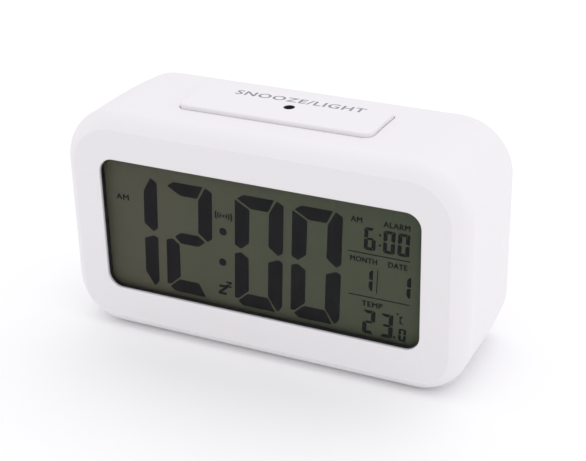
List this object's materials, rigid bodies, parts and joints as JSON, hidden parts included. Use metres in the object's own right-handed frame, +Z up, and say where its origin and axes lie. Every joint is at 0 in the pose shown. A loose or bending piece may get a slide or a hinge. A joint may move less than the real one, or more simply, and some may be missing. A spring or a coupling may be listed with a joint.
{
  "type": "alarm clock",
  "caption": "Small desk alarm clock: rounded white casing, wide display window with slanted digits, a snooze bar on top, rear keys and a battery door.",
  "frame": {"origin": "middle of the overall box, on the surface that the clock stands on", "axes": "+X to the right as seen from the front, +Y from the display towards the back, +Z up"},
  "size_m": [0.135, 0.046, 0.0765],
  "materials": {
    "white_case": "fine satin moulded ABS",
    "white_key": "fine satin moulded ABS",
    "clear_lens": "clear polished acrylic",
    "display_glass": "thin display glass",
    "polariser": "grey-green polarising film",
    "guide_plastic": "clear acrylic, dotted back",
    "white_film": "white reflective film",
    "led_body": "moulded package",
    "black_foam": "black foam and conductive rubber",
    "frame_plastic": "black moulded plastic",
    "board": "green solder mask on glass-epoxy",
    "black_epoxy": "black epoxy",
    "capacitor_can": "sleeved can",
    "steel": "zinc-plated",
    "nickel": "nickel-plated",
    "brass": "rolled brass",
    "switch_black": "black moulded plastic",
    "sensor_ceramic": "ceramic with a printed track",
    "cell_jacket": "printed sleeve over steel",
    "cable_grey": "grey flat cable",
    "wire_sleeve": "insulated lead"
  },
  "bodies": {
    "clock": {"front_case": "white_case", "rear_cover": "white_case", "case_screws": "steel", "display_lens": "clear_lens", "lens_gasket": "black_foam", "front_polariser": "polariser", "lcd_front_glass": "display_glass", "lcd_rear_glass": "display_glass", "rear_polariser": "polariser", "light_guide": "guide_plastic", "backlight_reflector": "white_film", "backlight_leds": "led_body", "lcd_frame": "frame_plastic", "zebra_strips": "black_foam", "main_board": "board", "main_board_screws": "steel", "clock_chip": "black_epoxy", "crystal": "nickel", "capacitors": "capacitor_can", "resistors": "black_epoxy", "thermistor": "black_epoxy", "snooze_board": "board", "snooze_board_screws": "steel", "snooze_switch_body": "switch_black", "light_sensor": "sensor_ceramic", "key_board": "board", "key_board_screws": "steel", "key_switch_bodies": "switch_black", "slide_switch_body": "nickel", "buzzer_ring": "frame_plastic", "buzzer_disc": "brass", "battery_cells": "cell_jacket", "battery_springs": "nickel", "battery_plates": "nickel", "ribbon_cable": "cable_grey", "battery_wires": "wire_sleeve"},
    "bar": {"snooze_bar": "white_key"},
    "bar_stem": {"snooze_switch_stem": "switch_black"},
    "sensor_knob": {"sensor_switch_knob": "switch_black"},
    "door": {"battery_door": "white_case"},
    "mode": {"mode_key": "white_key"},
    "mode_stem": {"mode_switch_stem": "switch_black"},
    "set": {"set_key": "white_key"},
    "set_stem": {"set_switch_stem": "switch_black"},
    "up": {"up_key": "white_key"},
    "up_stem": {"up_switch_stem": "switch_black"},
    "down": {"down_key": "white_key"},
    "down_stem": {"down_switch_stem": "switch_black"}
  },
  "joints": [
    {"name": "bar_press", "type": "slide", "parent": "clock", "child": "bar", "axis": [0, 0, -1], "range_m": [0, 0.001], "stiffness_N_per_m": 600, "springref_m": -0.001},
    {"name": "bar_stem_press", "type": "slide", "parent": "clock", "child": "bar_stem", "axis": [0, 0, -1], "range_m": [0, 0.00034]},
    {"name": "mode_press", "type": "slide", "parent": "clock", "child": "mode", "axis": [0, -1, 0], "range_m": [0, 0.0006], "stiffness_N_per_m": 500, "springref_m": -0.001},
    {"name": "mode_stem_press", "type": "slide", "parent": "clock", "child": "mode_stem", "axis": [0, -1, 0], "range_m": [0, 0.00034]},
    {"name": "set_press", "type": "slide", "parent": "clock", "child": "set", "axis": [0, -1, 0], "range_m": [0, 0.0006], "stiffness_N_per_m": 500, "springref_m": -0.001},
    {"name": "set_stem_press", "type": "slide", "parent": "clock", "child": "set_stem", "axis": [0, -1, 0], "range_m": [0, 0.00034]},
    {"name": "up_press", "type": "slide", "parent": "clock", "child": "up", "axis": [0, -1, 0], "range_m": [0, 0.0006], "stiffness_N_per_m": 500, "springref_m": -0.001},
    {"name": "up_stem_press", "type": "slide", "parent": "clock", "child": "up_stem", "axis": [0, -1, 0], "range_m": [0, 0.00034]},
    {"name": "down_press", "type": "slide", "parent": "clock", "child": "down", "axis": [0, -1, 0], "range_m": [0, 0.0006], "stiffness_N_per_m": 500, "springref_m": -0.001},
    {"name": "down_stem_press", "type": "slide", "parent": "clock", "child": "down_stem", "axis": [0, -1, 0], "range_m": [0, 0.00034]},
    {"name": "sensor_slide", "type": "slide", "parent": "clock", "child": "sensor_knob", "axis": [1, 0, 0], "range_m": [0, 0.002]},
    {"name": "door_swing", "type": "hinge", "parent": "clock", "child": "door", "pos_m": [0, 0.022, 0.0096], "axis": [-1, 0, 0], "range_deg": [0, 75]}
  ],
  "couplings": [
    {"joint": "bar_stem_press", "follows": "bar_press", "ratio": 0.3},
    {"joint": "mode_stem_press", "follows": "mode_press", "ratio": 0.5},
    {"joint": "set_stem_press", "follows": "set_press", "ratio": 0.5},
    {"joint": "up_stem_press", "follows": "up_press", "ratio": 0.5},
    {"joint": "down_stem_press", "follows": "down_press", "ratio": 0.5}
  ]
}
